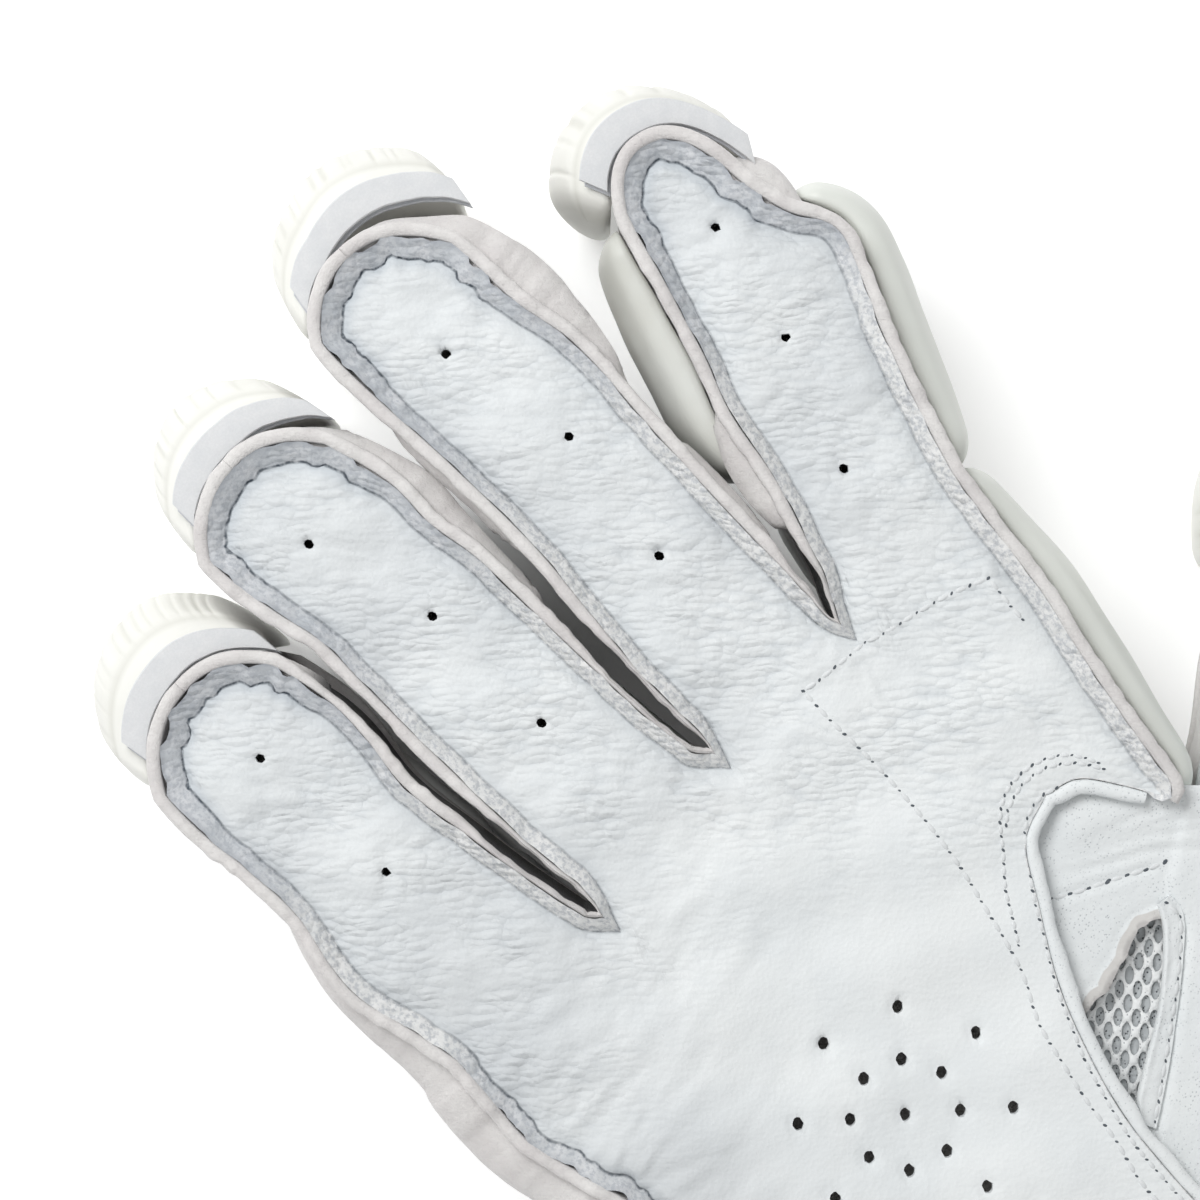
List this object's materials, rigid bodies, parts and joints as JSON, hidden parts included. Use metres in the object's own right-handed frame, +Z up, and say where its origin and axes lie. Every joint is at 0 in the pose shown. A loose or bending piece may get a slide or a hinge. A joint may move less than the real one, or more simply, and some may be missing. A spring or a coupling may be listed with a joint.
{
  "type": "cricket batting glove",
  "caption": "White leather cricket batting glove for the right hand, palm up, with raised seam edges, padded fingertip caps and rolls on the back.",
  "frame": {"origin": "middle of the bounding box on the surface that the back pads lie on", "axes": "+Z up out of the palm, +Y from the wrist to the fingertips, +X towards the thumb side"},
  "size_m": [0.166, 0.2574, 0.0433],
  "materials": {
    "palm_leather": "soft fine-grained white leather",
    "cotton": "brushed cotton",
    "mesh": "open spacer mesh",
    "cap_leather": "smooth coated white leather",
    "tip_band": "light grey cut leather",
    "tip_lining": "grey felted lining",
    "side_pad": "smooth greenish white coated leather",
    "roll_leather": "smooth coated white leather"
  },
  "bodies": {
    "root": {"palm_leather": "palm_leather", "thumb_leather": "palm_leather", "thumb_rim_binding": "palm_leather", "thumb_fold_strip": "palm_leather", "wrist_strap": "palm_leather", "gusset_little_side": "cotton", "gusset_little_ring": "cotton", "gusset_ring_middle": "cotton", "gusset_middle_index": "cotton", "gusset_index_side": "cotton", "thumb_gusset": "cotton", "back_sheet": "cotton", "wristband": "cotton", "thumb_mesh_insert": "mesh", "little_tip_cap": "cap_leather", "ring_tip_cap": "cap_leather", "middle_tip_cap": "cap_leather", "index_tip_cap": "cap_leather", "thumb_tip_cap": "cap_leather", "strap_tab": "cap_leather", "little_tip_band": "tip_band", "ring_tip_band": "tip_band", "middle_tip_band": "tip_band", "index_tip_band": "tip_band", "little_tip_lining": "tip_lining", "ring_tip_lining": "tip_lining", "middle_tip_lining": "tip_lining", "index_tip_lining": "tip_lining", "index_side_pad": "side_pad", "hand_side_pad": "side_pad", "index_inner_pad": "side_pad", "little_roll_base": "roll_leather", "little_roll_mid": "roll_leather", "little_roll_top": "roll_leather", "ring_roll_base": "roll_leather", "ring_roll_mid": "roll_leather", "ring_roll_top": "roll_leather", "middle_roll_base": "roll_leather", "middle_roll_mid": "roll_leather", "middle_roll_top": "roll_leather", "index_roll_base": "roll_leather", "index_roll_mid": "roll_leather", "index_roll_top": "roll_leather", "hand_roll_little": "roll_leather", "hand_roll_ring": "roll_leather", "hand_roll_middle": "roll_leather", "hand_roll_index": "roll_leather", "wrist_pad_left": "roll_leather", "wrist_pad_right": "roll_leather", "thumb_roll_base": "roll_leather", "thumb_roll_tip": "roll_leather"}
  },
  "joints": []
}
